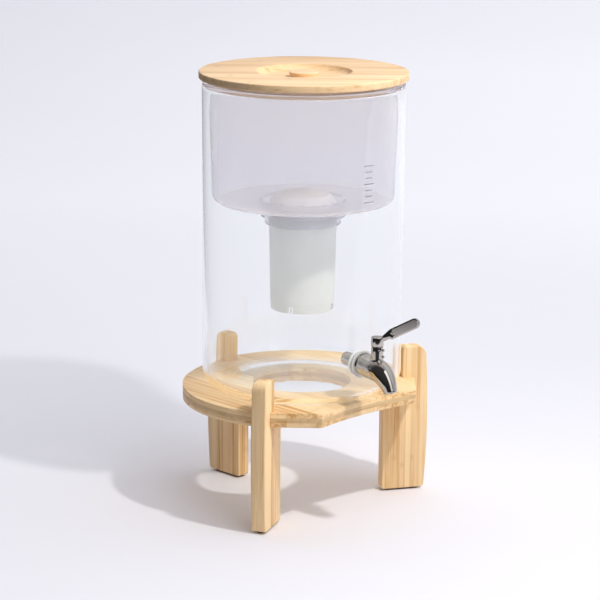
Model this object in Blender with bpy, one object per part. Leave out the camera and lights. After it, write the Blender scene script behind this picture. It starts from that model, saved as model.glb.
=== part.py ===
"""Countertop water dispenser: a three-legged wooden stand, a glass jar with a steel spigot, a hanging
plastic reservoir with a filter cartridge through its floor, and a wooden lid.

Units are metres, +Z is up and the stand's scooped front faces -Y. The origin is on the surface that the
dispenser stands on, under the middle of its bounding box. The jar, reservoir, filter and lid share one
vertical axis, which lies AXIS_Y behind the origin. The jar is turned a little, so its spigot points
SPIGOT_TURN away from -Y. Lengths below are in millimetres and are scaled once, by MM.
"""

import math

import bmesh
import bpy
from mathutils import Matrix, Vector

MM = 0.001
GAP = 0.3  # left between touching pieces

# Driving dimensions, millimetres above the standing surface or from the jar's axis.
PLATFORM_R = 126.0
PLATFORM_TOP = 126.4
PLATFORM_T = 14.8
PLATFORM_HOLE_R = 52.0
FACET_DISTANCE = 120.5
FACET_TURN = 45.0
SCOOP_DISTANCE = 95.5
SCOOP_R = 400.0

LEG_TURNS = {"leg_back": 91.0, "leg_front_right": -28.5, "leg_front_left": -152.5}
LEG_T = 15.4
LEG_INNER_R = 88.9
LEG_OUTER_R = 139.0
LEG_UPPER_INNER_R = 109.8
LEG_TOP = 159.5
FOOT_T = 1.8
DOWEL_R = 4.0
DOWEL_AT_R = 99.0
DOWEL_UP = 9.0
DOWEL_DOWN = 16.0

JAR_R = 105.0
JAR_WALL = 4.0
JAR_BOTTOM = PLATFORM_TOP + GAP
JAR_BASE_T = 5.0
JAR_CORNER_R = 18.0
JAR_TOP = 443.0

RESERVOIR_TOP_R = 98.2
RESERVOIR_LOW_R = 94.6
RESERVOIR_WALL = 2.4
RESERVOIR_FLOOR = 322.5
RESERVOIR_RIM_R = 104.6
RESERVOIR_TOP = 449.9
SOCKET_R = 44.5
SOCKET_LOW = 307.2
SOCKET_STEP_R = 39.8
SOCKET_STEP_LOW = 299.3
SOCKET_BORE_R = 35.9

LID_R = 108.2
LID_TOP = 457.8
LID_T = 7.6
LID_PLUG_R = 92.0
LID_PLUG_LOW = 441.0
DISH_R = 49.6
DISH_DEPTH = 6.6
KNOB_R = 15.8

FILTER_LOW = 208.7
FILTER_LOW_R = 33.2
FILTER_TOP_R = 35.3
FILTER_WALL = 1.8
FILTER_FLANGE = 311.6
CAP_LOW = 314.4
CAP_R = 36.0
CAP_H = 19.6
CAP_SLOTS = 18
CAP_SLOT_TURN = 6.0
CAP_SLOT_W = 2.2
NOTCHES = 4
NOTCH_TURN = -155.5
NOTCH_W = 5.6
NOTCH_H = 7.0
GRILLE_RINGS = ((9.0, 4), (20.0, 8))  # radius and number of holes
GRILLE_HOLE_R = 1.8

SPIGOT_TURN = -8.1  # degrees about the jar's axis, from -Y
SPIGOT_Z = 170.0
STEM_AT = 129.8
STEM_R = 6.1
STEM_TOP = 193.8
HEAD_LOW = 194.5
HEAD_TOP = 203.6
HEAD_R = 6.5
SHANK_R = 5.8
SHANK_IN = 79.7
FLANGE_AT = 107.3
FLANGE_T = 1.6
FLANGE_R = 12.4
PLUG_R = 3.6
STOP_R = 1.3  # two pins that stand out of the tower's side
STOP_REACH = 1.3
STOP_TURN = 12.0
STOP_HEIGHTS = (183.4, 190.2)
WASHER_OUTER_R = 14.5
WASHER_INNER_R = 13.8
NUT_R = 7.3
NUT_OUT = 97.6
NUT_INLET_R = 4.4
LEVER_TURN = 24.1  # degrees from the spigot's direction, with the valve shut
LEVER_REACH = 47.6
LEVER_T = 3.2

# The lever's tip reaches furthest forward and the back leg furthest back, which places the jar's axis.
FRONT_REACH = (
    STEM_AT * math.cos(math.radians(SPIGOT_TURN))
    + LEVER_REACH * math.cos(math.radians(SPIGOT_TURN + LEVER_TURN))
    + LEVER_T / 2 * math.sin(math.radians(SPIGOT_TURN + LEVER_TURN))
)
AXIS_Y = (FRONT_REACH - LEG_OUTER_R) / 2

ROUND_STEPS = 40
SMALL_STEPS = 32

COLOURS = {
    "bamboo": ((0.78, 0.53, 0.28, 1.0), 0.45, 0.0),
    "bamboo_end": ((0.66, 0.42, 0.20, 1.0), 0.5, 0.0),
    "glass": ((0.93, 0.96, 0.95, 1.0), 0.03, 0.0),
    "tinted_plastic": ((0.72, 0.70, 0.84, 1.0), 0.35, 0.0),
    "white_plastic": ((0.83, 0.85, 0.83, 1.0), 0.4, 0.0),
    "steel": ((0.56, 0.54, 0.51, 1.0), 0.15, 1.0),
    "silicone": ((0.80, 0.81, 0.80, 1.0), 0.55, 0.0),
    "foot_rubber": ((0.10, 0.09, 0.08, 1.0), 0.8, 0.0),
    "felt": ((0.88, 0.88, 0.86, 1.0), 0.9, 0.0),
    "carbon": ((0.06, 0.06, 0.06, 1.0), 0.9, 0.0),
}


# ---------------------------------------------------------------- helpers


def clear_scene():
    for obj in list(bpy.data.objects):
        bpy.data.objects.remove(obj, do_unlink=True)


def material(name):
    """A Principled material in one of the object's colours, one for each node that asks."""
    colour, roughness, metallic = COLOURS[name]
    mat = bpy.data.materials.new(name)
    mat.use_nodes = True
    shader = mat.node_tree.nodes["Principled BSDF"]
    shader.inputs["Base Color"].default_value = colour
    shader.inputs["Roughness"].default_value = roughness
    shader.inputs["Metallic"].default_value = metallic
    mat.diffuse_color = colour
    return mat


def frame(name, x=0.0, y=0.0, z=0.0, turn=0.0, parent=None):
    """An empty that other pieces hang from; x, y and z in millimetres, turn in degrees about Z."""
    empty = bpy.data.objects.new(name, None)
    bpy.context.scene.collection.objects.link(empty)
    empty.parent = parent
    empty.location = Vector((x, y, z)) * MM
    empty.rotation_euler.z = math.radians(turn)
    return empty


def node(name, bm, parent, colour=None, smooth=True):
    """Finishes a mesh in millimetres and links it as one named object."""
    bmesh.ops.remove_doubles(bm, verts=bm.verts, dist=0.001)
    bmesh.ops.recalc_face_normals(bm, faces=bm.faces)
    bm.transform(Matrix.Scale(MM, 4))
    mesh = bpy.data.meshes.new(name)
    bm.to_mesh(mesh)
    bm.free()
    if colour:
        mesh.materials.append(material(colour))
    if smooth:
        mesh.shade_smooth()
        mesh.set_sharp_from_angle(angle=math.radians(35))
    obj = bpy.data.objects.new(name, mesh)
    bpy.context.scene.collection.objects.link(obj)
    obj.parent = parent
    return obj


def as_cutter(obj):
    obj.hide_render = True
    obj.display_type = "WIRE"
    return obj


def boolean(obj, tool, operation="DIFFERENCE"):
    modifier = obj.modifiers.new(f"{operation.lower()}_{tool.name}", "BOOLEAN")
    modifier.operation = operation
    modifier.solver = "EXACT"
    modifier.object = as_cutter(tool)


def round_edges(obj, width, segments=2, angle=30):
    modifier = obj.modifiers.new("round_edges", "BEVEL")
    modifier.width = width * MM
    modifier.segments = segments
    modifier.limit_method = "ANGLE"
    modifier.angle_limit = math.radians(angle)
    modifier.use_clamp_overlap = True


def arc(cx, cy, radius, start, end, steps):
    """Points of an arc, both ends included; angles in degrees."""
    points = []
    for i in range(steps + 1):
        angle = math.radians(start + (end - start) * i / steps)
        points.append((cx + radius * math.cos(angle), cy + radius * math.sin(angle)))
    return points


def turned(name, profile, parent, colour=None, steps=ROUND_STEPS):
    """A closed (radius, height) profile spun about its frame's Z axis."""
    bm = bmesh.new()
    verts = [bm.verts.new((radius, 0.0, height)) for radius, height in profile]
    edges = [bm.edges.new((a, b)) for a, b in zip(verts, verts[1:] + verts[:1])]
    bmesh.ops.spin(
        bm, geom=verts + edges, cent=(0, 0, 0), axis=(0, 0, 1), angle=math.tau, steps=steps, use_merge=True
    )
    bmesh.ops.remove_doubles(bm, verts=bm.verts, dist=0.001)
    bmesh.ops.dissolve_degenerate(bm, edges=bm.edges, dist=0.001)
    return node(name, bm, parent, colour)


def slab(name, outline, low, high, parent, colour=None, smooth=True):
    """An outline in the XY plane made solid from height low to high."""
    bm = bmesh.new()
    base = bm.faces.new([bm.verts.new((x, y, low)) for x, y in outline])
    extruded = bmesh.ops.extrude_face_region(bm, geom=[base])["geom"]
    moved = [item for item in extruded if isinstance(item, bmesh.types.BMVert)]
    bmesh.ops.translate(bm, verts=moved, vec=(0, 0, high - low))
    return node(name, bm, parent, colour, smooth)


def upright_slab(name, outline, thickness, parent, colour=None):
    """An outline in (distance out, height), made solid equally to both sides of the XZ plane."""
    bm = bmesh.new()
    base = bm.faces.new([bm.verts.new((x, -thickness / 2, z)) for x, z in outline])
    extruded = bmesh.ops.extrude_face_region(bm, geom=[base])["geom"]
    moved = [item for item in extruded if isinstance(item, bmesh.types.BMVert)]
    bmesh.ops.translate(bm, verts=moved, vec=(0, thickness, 0))
    return node(name, bm, parent, colour)


def box(name, low, high, parent):
    """A plain box between two corners, in its frame."""
    outline = [(low[0], low[1]), (high[0], low[1]), (high[0], high[1]), (low[0], high[1])]
    return slab(name, outline, low[2], high[2], parent, smooth=False)


def rod(name, start, end, radius, parent, colour=None, steps=24):
    """A round bar between two points of its frame."""
    start, end = Vector(start), Vector(end)
    bm = bmesh.new()
    bmesh.ops.create_cone(
        bm, cap_ends=True, segments=steps, radius1=radius, radius2=radius, depth=(end - start).length
    )
    turn = Vector((0, 0, 1)).rotation_difference(end - start).to_matrix().to_4x4()
    bm.transform(Matrix.Translation((start + end) / 2) @ turn)
    return node(name, bm, parent, colour)


def smooth_stations(stations, pieces):
    """Catmull-Rom points through (distance, height, radius) stations."""
    padded = [stations[0]] + list(stations) + [stations[-1]]
    points = []
    for i in range(len(stations) - 1):
        p0, p1, p2, p3 = padded[i : i + 4]
        for j in range(pieces):
            t = j / pieces
            points.append(
                tuple(
                    0.5 * (2 * b + (c - a) * t + (2 * a - 5 * b + 4 * c - d) * t**2 + (3 * b - 3 * c + d - a) * t**3)
                    for a, b, c, d in zip(p0, p1, p2, p3)
                )
            )
    points.append(tuple(stations[-1]))
    return points


def swept(name, stations, parent, colour=None, steps=20, pieces=2):
    """A round body along a path in the XZ plane, with its own radius at each station."""
    points = smooth_stations(stations, pieces)
    bm = bmesh.new()
    rings = []
    for i, (x, z, radius) in enumerate(points):
        before, after = points[max(i - 1, 0)], points[min(i + 1, len(points) - 1)]
        along = Vector((after[0] - before[0], 0, after[1] - before[1])).normalized()
        across = along.cross(Vector((0, 1, 0)))
        ring = []
        for k in range(steps):
            angle = math.tau * k / steps
            offset = across * (radius * math.cos(angle)) + Vector((0, radius * math.sin(angle), 0))
            ring.append(bm.verts.new(Vector((x, 0, z)) + offset))
        rings.append(ring)
    for one, two in zip(rings, rings[1:]):
        for k in range(steps):
            bm.faces.new((one[k], one[(k + 1) % steps], two[(k + 1) % steps], two[k]))
    bm.faces.new(rings[0])
    bm.faces.new(rings[-1])
    return node(name, bm, parent, colour)


# ---------------------------------------------------------------- stand


def platform_outline():
    """Round board with a shallow scoop at the front (-Y) and a straight facet at each end of it."""
    scoop_y = -SCOOP_DISTANCE - SCOOP_R
    facet_half = math.degrees(math.acos(FACET_DISTANCE / PLATFORM_R))
    right = -90 + FACET_TURN + facet_half
    # The facet's line meets the scoop's circle: n.p = FACET_DISTANCE with |p - (0, scoop_y)| = SCOOP_R.
    normal = Vector((math.sin(math.radians(FACET_TURN)), -math.cos(math.radians(FACET_TURN))))
    along = Vector((-normal.y, normal.x))
    foot = normal * FACET_DISTANCE - Vector((0, scoop_y))
    b = foot.dot(along)
    root = math.sqrt(b * b - foot.length_squared + SCOOP_R**2)
    corner = min((normal * FACET_DISTANCE + along * (-b + way * root) for way in (-1, 1)), key=lambda p: abs(p.x))
    half = math.degrees(math.asin(corner.x / SCOOP_R))
    rim = arc(0, 0, PLATFORM_R, right, 180 - right, ROUND_STEPS)
    scoop = arc(0, scoop_y, SCOOP_R, 90 + half, 90 - half, 10)
    return rim + scoop


def leg_outline():
    """A leg's side view: foot, outer edge with a slight belly, round top, then the shoulder that carries
    the platform and flares into it."""
    low = FOOT_T + GAP
    shoulder = PLATFORM_TOP - PLATFORM_T - GAP
    belly_z, belly_drop, belly_span = 80.0, 2.9, 75.0

    def outer(z):
        return LEG_OUTER_R - belly_drop * ((z - belly_z) / belly_span) ** 2

    points = arc(LEG_INNER_R + 2, low + 2, 2, -180, -90, 2)
    points += arc(outer(low + 4) - 4, low + 4, 4, -90, 0, 3)
    points += [(outer(z), z) for z in (25, 45, 65, 85, 105, 125, 140)]
    points += arc(outer(LEG_TOP - 10) - 10, LEG_TOP - 10, 10, 0, 90, 4)
    points += arc(LEG_UPPER_INNER_R + 5, LEG_TOP - 5, 5, 90, 180, 3)
    points += [(LEG_UPPER_INNER_R, shoulder), (LEG_INNER_R - 6, shoulder)]
    points += arc(LEG_INNER_R - 14, shoulder - 14, 14, 55, 0, 4)
    return points


def make_leg(name, turn, stand):
    leg_frame = frame(f"{name}_frame", turn=turn, parent=stand)
    leg = upright_slab(name, leg_outline(), LEG_T, leg_frame, "bamboo")
    round_edges(leg, 1.6)
    shoulder = PLATFORM_TOP - PLATFORM_T
    housing = box(
        f"{name}_housing",
        (LEG_INNER_R - 20, -LEG_T, shoulder - GAP),
        (LEG_UPPER_INNER_R, LEG_T, PLATFORM_TOP + GAP),
        leg_frame,
    )
    boolean(leg, housing)
    hole = rod(
        f"{name}_dowel_hole",
        (DOWEL_AT_R, 0, shoulder - DOWEL_DOWN - GAP),
        (DOWEL_AT_R, 0, shoulder + 5),
        DOWEL_R + GAP,
        leg_frame,
        steps=16,
    )
    boolean(leg, hole)
    rod(
        name.replace("leg", "dowel"),
        (DOWEL_AT_R, 0, shoulder - DOWEL_DOWN),
        (DOWEL_AT_R, 0, shoulder + DOWEL_UP),
        DOWEL_R,
        leg_frame,
        "bamboo_end",
        steps=16,
    )
    inner, outer = LEG_INNER_R + 2.5, LEG_OUTER_R - 8
    middle = LEG_T / 2 - 2.5
    outline = arc(inner + middle, 0, middle, 90, 270, 6) + arc(outer - middle, 0, middle, -90, 90, 6)
    slab(name.replace("leg", "foot_pad"), outline, 0, FOOT_T, leg_frame, "foot_rubber")
    return leg_frame


def make_platform(stand, leg_frames):
    low = PLATFORM_TOP - PLATFORM_T
    platform = slab("platform", platform_outline(), low, PLATFORM_TOP, stand, "bamboo")
    round_edges(platform, 1.2)
    hole = rod("platform_hole", (0, 0, low - 5), (0, 0, PLATFORM_TOP + 5), PLATFORM_HOLE_R, stand, steps=40)
    boolean(platform, hole)
    for leg_frame in leg_frames:
        half = LEG_T / 2 + GAP
        slot = box(
            f"slot_{leg_frame.name}",
            (LEG_UPPER_INNER_R - GAP, -half, low - 5),
            (PLATFORM_R + 10, half, PLATFORM_TOP + 5),
            leg_frame,
        )
        boolean(platform, slot)
        socket = rod(
            f"socket_{leg_frame.name}",
            (DOWEL_AT_R, 0, low - 5),
            (DOWEL_AT_R, 0, low + DOWEL_UP + GAP),
            DOWEL_R + GAP,
            leg_frame,
            steps=16,
        )
        boolean(platform, socket)


def make_stand(root):
    leg_frames = [make_leg(name, turn, root) for name, turn in LEG_TURNS.items()]
    make_platform(root, leg_frames)


# ---------------------------------------------------------------- jar


def jar_profile():
    """Outer wall down, round corner, resting ring, hollow punt, then up the inside to the round rim."""
    inner = JAR_R - JAR_WALL
    floor = JAR_BOTTOM + JAR_BASE_T
    centre = JAR_R - JAR_CORNER_R
    corner_in = JAR_CORNER_R - JAR_WALL
    points = [(0, JAR_BOTTOM + 4.6), (35, JAR_BOTTOM + 4.2), (60, JAR_BOTTOM + 2.8), (74, JAR_BOTTOM + 0.4)]
    points += [(78, JAR_BOTTOM), (centre - 1, JAR_BOTTOM)]
    points += arc(centre, JAR_BOTTOM + JAR_CORNER_R, JAR_CORNER_R, -80, 0, 5)
    points += arc(JAR_R - JAR_WALL / 2, JAR_TOP - JAR_WALL / 2, JAR_WALL / 2, 0, 180, 6)
    points += arc(inner - corner_in, floor + corner_in, corner_in, 0, -78, 5)
    points += [(76, floor + 0.1), (60, floor + 2.6), (35, floor + 4.0), (0, floor + 4.4)]
    return points


def make_jar(jar_frame, spigot_frame):
    jar = turned("glass_jar", jar_profile(), jar_frame, "glass")
    hole = rod("jar_spigot_hole", (90, 0, SPIGOT_Z), (115, 0, SPIGOT_Z), SHANK_R + GAP, spigot_frame)
    boolean(jar, hole)


# ---------------------------------------------------------------- spigot

BODY_STATIONS = [
    (FLANGE_AT, SPIGOT_Z, 10.8),
    (109.5, SPIGOT_Z, 11.0),
    (112.5, SPIGOT_Z - 0.2, 11.2),
    (120, SPIGOT_Z - 1.0, 11.6),
    (128, SPIGOT_Z - 1.0, 11.6),
    (136, SPIGOT_Z - 2.4, 11.1),
    (143, SPIGOT_Z - 6.2, 10.0),
    (148.5, SPIGOT_Z - 11.8, 8.5),
    (152, SPIGOT_Z - 17.4, 7.0),
    (153.4, SPIGOT_Z - 20.6, 6.2),
]
WATERWAY_STATIONS = [
    (SHANK_IN - 5, SPIGOT_Z, 3.6),
    (118, SPIGOT_Z, 3.6),
    (STEM_AT, SPIGOT_Z - 0.6, 3.2),
    (138, SPIGOT_Z - 2.8, 3.6),
    (144, SPIGOT_Z - 7.0, 4.2),
    (149, SPIGOT_Z - 12.4, 4.6),
    (152.3, SPIGOT_Z - 18.0, 4.8),
    (154.2, SPIGOT_Z - 23.2, 4.9),
]


def make_spigot_body(spigot_frame):
    body = swept("spigot_body", BODY_STATIONS, spigot_frame, "steel", steps=24)
    tower = rod("stem_tower", (STEM_AT, 0, SPIGOT_Z), (STEM_AT, 0, STEM_TOP), STEM_R, spigot_frame)
    shank = rod("shank", (SHANK_IN, 0, SPIGOT_Z), (FLANGE_AT + 4, 0, SPIGOT_Z), SHANK_R, spigot_frame)
    flange = rod("flange", (FLANGE_AT, 0, SPIGOT_Z), (FLANGE_AT + FLANGE_T, 0, SPIGOT_Z), FLANGE_R, spigot_frame)
    for tool in (tower, shank, flange):
        boolean(body, tool, "UNION")
    stop_turn = math.radians(STOP_TURN)
    toward = Vector((math.cos(stop_turn), math.sin(stop_turn), 0))
    for i, height in enumerate(STOP_HEIGHTS):
        centre = Vector((STEM_AT, 0, height))
        stop = rod(f"stop_{i}", centre, centre + toward * (STEM_R + STOP_REACH), STOP_R, spigot_frame, steps=12)
        boolean(body, stop, "UNION")
    waterway = swept("waterway", WATERWAY_STATIONS, spigot_frame, steps=16, pieces=1)
    boolean(body, waterway)
    seat = rod("plug_seat", (STEM_AT, 0, SPIGOT_Z - 4.5), (STEM_AT, 0, STEM_TOP + 5), PLUG_R + GAP, spigot_frame)
    boolean(body, seat)


def washer(name, inner_at, outer_at, radius, spigot_frame, jar_frame, inside):
    """A flat ring whose glass side follows the jar's round wall."""
    ring = rod(name, (inner_at, 0, SPIGOT_Z), (outer_at, 0, SPIGOT_Z), radius, spigot_frame, "silicone")
    bore = rod(
        f"{name}_bore", (inner_at - 5, 0, SPIGOT_Z), (outer_at + 5, 0, SPIGOT_Z), SHANK_R + GAP, spigot_frame
    )
    boolean(ring, bore)
    wall_r = JAR_R - JAR_WALL - 2 * GAP if inside else JAR_R + GAP
    wall = rod(
        f"{name}_wall", (0, 0, SPIGOT_Z - 30), (0, 0, SPIGOT_Z + 30), wall_r, jar_frame, steps=ROUND_STEPS * 2
    )
    boolean(ring, wall, "INTERSECT" if inside else "DIFFERENCE")


def make_nut(spigot_frame):
    """A smooth round sleeve nut on the shank's inner end, open at its end for the water."""
    nut = rod("spigot_nut", (SHANK_IN - 2.4, 0, SPIGOT_Z), (NUT_OUT, 0, SPIGOT_Z), NUT_R, spigot_frame, "steel")
    round_edges(nut, 0.7)
    bore = rod("nut_bore", (SHANK_IN - 0.6, 0, SPIGOT_Z), (100, 0, SPIGOT_Z), SHANK_R + 0.15, spigot_frame)
    boolean(nut, bore)
    inlet = rod("nut_inlet", (SHANK_IN - 6, 0, SPIGOT_Z), (SHANK_IN + 2, 0, SPIGOT_Z), NUT_INLET_R, spigot_frame)
    boolean(nut, inlet)


def lever_outline():
    """Side view of the lever: a neck that rises out of the head into a long, even paddle that slopes up."""
    slope, lower_slope, tip_r = 29.0, 27.4, 5.4
    points = [(0, 199.8), (8.6, 200.4)]
    points += arc(16.0, 208.8, 5.4, -108, -90 + lower_slope, 3)
    points += arc(LEVER_REACH - tip_r, 223.1, tip_r, -90 + lower_slope, 90 + slope, 8)
    points += arc(19.4, 207.4, 8.0, 90 + slope, 90 + slope + 13, 2)
    points += [(6.4, 206.0), (4.6, 203.2), (0, 203.2)]
    return points


def make_lever(lever_frame):
    head = rod("lever", (0, 0, HEAD_LOW), (0, 0, HEAD_TOP), HEAD_R, lever_frame, "steel")
    round_edges(head, 0.5)
    paddle = upright_slab("lever_paddle", lever_outline(), LEVER_T, lever_frame)
    round_edges(paddle, 0.6)
    boolean(head, paddle, "UNION")
    start, end = Vector((20.4, 211.2)), Vector((LEVER_REACH - 5.6, 223.0))
    slope = math.degrees(math.atan2(end.y - start.y, end.x - start.x))
    outline = arc(end.x, end.y, 3.9, slope - 90, slope + 90, 6)
    outline += arc(start.x, start.y, 3.6, slope + 90, slope + 270, 6)
    for side in (-1, 1):
        panel = upright_slab(f"lever_panel_{side + 1}", outline, 1.0, lever_frame)
        panel.location.y = side * (LEVER_T / 2) * MM
        boolean(head, panel)
    bore = rod("lever_bore", (0, 0, HEAD_LOW - 5), (0, 0, HEAD_LOW + 4.3), 2.3, lever_frame, steps=16)
    boolean(head, bore)


def make_valve_plug(lever_frame):
    """The turning plug under the lever: its cross hole meets the waterway when the lever opens."""
    low = SPIGOT_Z - 4.2
    profile = [(0, low), (PLUG_R - 0.6, low), (PLUG_R, low + 0.6), (PLUG_R, HEAD_LOW - GAP)]
    profile += [(2.0, HEAD_LOW - GAP), (2.0, HEAD_LOW + 4.0), (0, HEAD_LOW + 4.0)]
    plug = turned("valve_plug", profile, lever_frame, "steel", steps=24)
    across = math.radians(90 - LEVER_TURN)
    out = Vector((math.cos(across), math.sin(across), 0)) * 8
    centre = Vector((0, 0, SPIGOT_Z - 0.6))
    boolean(plug, rod("plug_port", centre - out, centre + out, 2.2, lever_frame, steps=16))


# ---------------------------------------------------------------- reservoir


def reservoir_profile():
    """Rim lip, hanging flange, tapered wall, round corner, floor, and the stepped socket for the filter."""
    flange_low = JAR_TOP + GAP
    wall, floor = RESERVOIR_WALL, RESERVOIR_FLOOR
    points = [(RESERVOIR_TOP_R + 1.6, RESERVOIR_TOP), (RESERVOIR_TOP_R + 1.6, flange_low + 3.2)]
    points += [(RESERVOIR_RIM_R, flange_low + 3.2), (RESERVOIR_RIM_R, flange_low)]
    points += [(RESERVOIR_TOP_R, flange_low)]
    points += arc(RESERVOIR_LOW_R - 10, floor + 10, 10, 0, -90, 4)
    points += [(SOCKET_R, floor), (SOCKET_R, SOCKET_LOW), (SOCKET_STEP_R, SOCKET_LOW)]
    points += [(SOCKET_STEP_R, SOCKET_STEP_LOW), (SOCKET_BORE_R, SOCKET_STEP_LOW)]
    points += [(SOCKET_BORE_R, SOCKET_LOW + wall), (SOCKET_R - wall, SOCKET_LOW + wall)]
    points += [(SOCKET_R - wall, floor + wall)]
    points += arc(RESERVOIR_LOW_R - 10, floor + 10, 10 - wall, -90, 0, 4)
    points += [(RESERVOIR_TOP_R - wall, RESERVOIR_TOP)]
    return points


def make_reservoir(reservoir_frame):
    turned("reservoir", reservoir_profile(), reservoir_frame, "tinted_plastic")


# ---------------------------------------------------------------- filter


def make_filter_housing(filter_frame):
    """Tapered cartridge body, open at both ends, hanging from its flange, notched round the bottom."""
    flange_r = 41.2
    wall = FILTER_WALL
    profile = [(FILTER_LOW_R, FILTER_LOW), (FILTER_TOP_R, SOCKET_STEP_LOW), (FILTER_TOP_R, FILTER_FLANGE)]
    profile += [(flange_r, FILTER_FLANGE), (flange_r, FILTER_FLANGE + 2.4)]
    profile += [(FILTER_TOP_R - wall, FILTER_FLANGE + 2.4)]
    profile += [(FILTER_TOP_R - wall, SOCKET_STEP_LOW), (FILTER_LOW_R - wall, FILTER_LOW)]
    housing = turned("filter_housing", profile, filter_frame, "white_plastic")
    half = NOTCH_W / 2
    for i in range(NOTCHES):
        notch_frame = frame(f"notch_frame_{i}", turn=NOTCH_TURN + 360 / NOTCHES * i, parent=filter_frame)
        notch = box(
            f"notch_{i}",
            (FILTER_LOW_R - 6, -half, FILTER_LOW - 5),
            (FILTER_LOW_R + 5, half, FILTER_LOW + NOTCH_H),
            notch_frame,
        )
        boolean(housing, notch)


def make_filter_cap(filter_frame):
    """Domed cap with radial slots for the water."""
    wall = 2.0
    low = CAP_LOW
    high = low + CAP_H
    dome = [(CAP_R, low), (CAP_R - 1.5, low + 9), (CAP_R - 8, high - 4), (CAP_R - 18, high - 1), (0, high)]
    inside = [(0, high - wall), (CAP_R - 19, high - wall - 1), (CAP_R - 9.5, high - wall - 3.7)]
    inside += [(CAP_R - wall - 1.5, low + 8.5), (CAP_R - wall, low)]
    cap = turned("filter_cap", dome + inside, filter_frame, "white_plastic", steps=CAP_SLOTS * 2)
    for i in range(CAP_SLOTS):
        slot_frame = frame(f"slot_frame_{i}", turn=CAP_SLOT_TURN + 360 / CAP_SLOTS * i, parent=filter_frame)
        half = CAP_SLOT_W / 2
        slot = box(f"cap_slot_{i}", (CAP_R - 12, -half, low + 2.2), (CAP_R + 5, half, low + 8), slot_frame)
        boolean(cap, slot)


def make_filter_inside(filter_frame):
    """Bottom grille, felt pads and the granular carbon bed between them."""

    def bore(height):
        share = (height - FILTER_LOW) / (SOCKET_STEP_LOW - FILTER_LOW)
        wide = FILTER_LOW_R + (FILTER_TOP_R - FILTER_LOW_R) * min(share, 1.0)
        return wide - FILTER_WALL - GAP

    levels = [
        ("filter_grille", 218.0, 220.0, "white_plastic"),
        ("filter_pad_low", 220.3, 225.0, "felt"),
        ("carbon_bed", 225.3, 302.0, "carbon"),
        ("filter_pad_top", 302.3, 310.0, "felt"),
    ]
    for name, low, high, colour in levels:
        profile = [(0, low), (bore(low), low), (bore(high), high), (0, high)]
        piece = turned(name, profile, filter_frame, colour, steps=SMALL_STEPS)
        if name == "filter_grille":
            for ring, count in GRILLE_RINGS:
                for i in range(count):
                    turn = math.tau * i / count
                    at = (ring * math.cos(turn), ring * math.sin(turn))
                    ends = ((*at, low - 5), (*at, high + 5))
                    boolean(piece, rod(f"grille_hole_{count}_{i}", *ends, GRILLE_HOLE_R, filter_frame, steps=8))


def make_filter_gasket(filter_frame):
    low, high = SOCKET_LOW + RESERVOIR_WALL + GAP, FILTER_FLANGE - GAP
    profile = [(SOCKET_BORE_R + 0.4, low), (41.0, low), (41.0, high), (SOCKET_BORE_R + 0.4, high)]
    turned("filter_gasket", profile, filter_frame, "silicone", steps=SMALL_STEPS)


def make_filter(filter_frame):
    make_filter_housing(filter_frame)
    make_filter_cap(filter_frame)
    make_filter_inside(filter_frame)
    make_filter_gasket(filter_frame)


# ---------------------------------------------------------------- lid


def make_lid(lid_frame):
    """One turned board: a flat disc with a dished finger recess, its knob left standing, and a plug
    below that fits the reservoir and carries a silicone ring in a groove."""
    low = LID_TOP - LID_T
    dish_low = LID_TOP - DISH_DEPTH
    groove_r, groove_low, groove_high = LID_PLUG_R - 2.2, 443.4, 446.8
    profile = [(0, LID_TOP - 0.8), (KNOB_R - 0.6, LID_TOP - 0.8), (KNOB_R, LID_TOP - 1.4)]
    profile += [(KNOB_R - 1.2, dish_low + 1.0), (KNOB_R, dish_low)]
    profile += [(DISH_R - 12, dish_low + 0.3), (DISH_R - 5, dish_low + 2.2), (DISH_R - 1.2, dish_low + 5.2)]
    profile += [(DISH_R, LID_TOP), (LID_R - 1.0, LID_TOP)]
    profile += [(LID_R, LID_TOP - 1.0), (LID_R, low + 1.0), (LID_R - 1.0, low), (LID_PLUG_R, low)]
    profile += [(LID_PLUG_R, groove_high), (groove_r, groove_high), (groove_r, groove_low)]
    profile += [(LID_PLUG_R, groove_low), (LID_PLUG_R, LID_PLUG_LOW), (0, LID_PLUG_LOW)]
    turned("lid", profile, lid_frame, "bamboo")
    seal = [(groove_r + GAP, groove_low + GAP), (LID_PLUG_R + 2.6, groove_low + 0.8)]
    seal += [(LID_PLUG_R + 2.6, groove_high - 0.8), (groove_r + GAP, groove_high - GAP)]
    turned("lid_seal", seal, lid_frame, "silicone")


# ---------------------------------------------------------------- assembly


def main():
    clear_scene()
    root = frame("dispenser", y=AXIS_Y)
    make_stand(root)
    jar_frame = frame("jar_frame", parent=root)
    # In the spigot's frame +X runs outwards from the jar's axis.
    spigot_frame = frame("spigot_frame", turn=-90 + SPIGOT_TURN, parent=jar_frame)
    make_jar(jar_frame, spigot_frame)
    make_spigot_body(spigot_frame)
    washer("washer_outer", JAR_R - 1.5, FLANGE_AT - GAP, WASHER_OUTER_R, spigot_frame, jar_frame, inside=False)
    inner_wall = JAR_R - JAR_WALL
    washer("washer_inner", NUT_OUT + GAP, inner_wall + 1, WASHER_INNER_R, spigot_frame, jar_frame, inside=True)
    make_nut(spigot_frame)
    lever_frame = frame("lever_axis", x=STEM_AT, turn=LEVER_TURN, parent=spigot_frame)
    make_lever(lever_frame)
    make_valve_plug(lever_frame)
    reservoir_frame = frame("reservoir_frame", parent=jar_frame)
    make_reservoir(reservoir_frame)
    make_filter(frame("filter_frame", parent=reservoir_frame))
    make_lid(frame("lid_frame", parent=reservoir_frame))


main()
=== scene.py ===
"""Looks for the countertop water dispenser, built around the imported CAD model.

Pieces are drawn in millimetres from the jar's axis and scaled once, by MM. Most of them stand for a CAD
node of the same size and carry the finer edges, slits and curves that the CAD leaves out.
"""

import math

import bmesh
import bpy
from mathutils import Matrix, Vector


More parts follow.
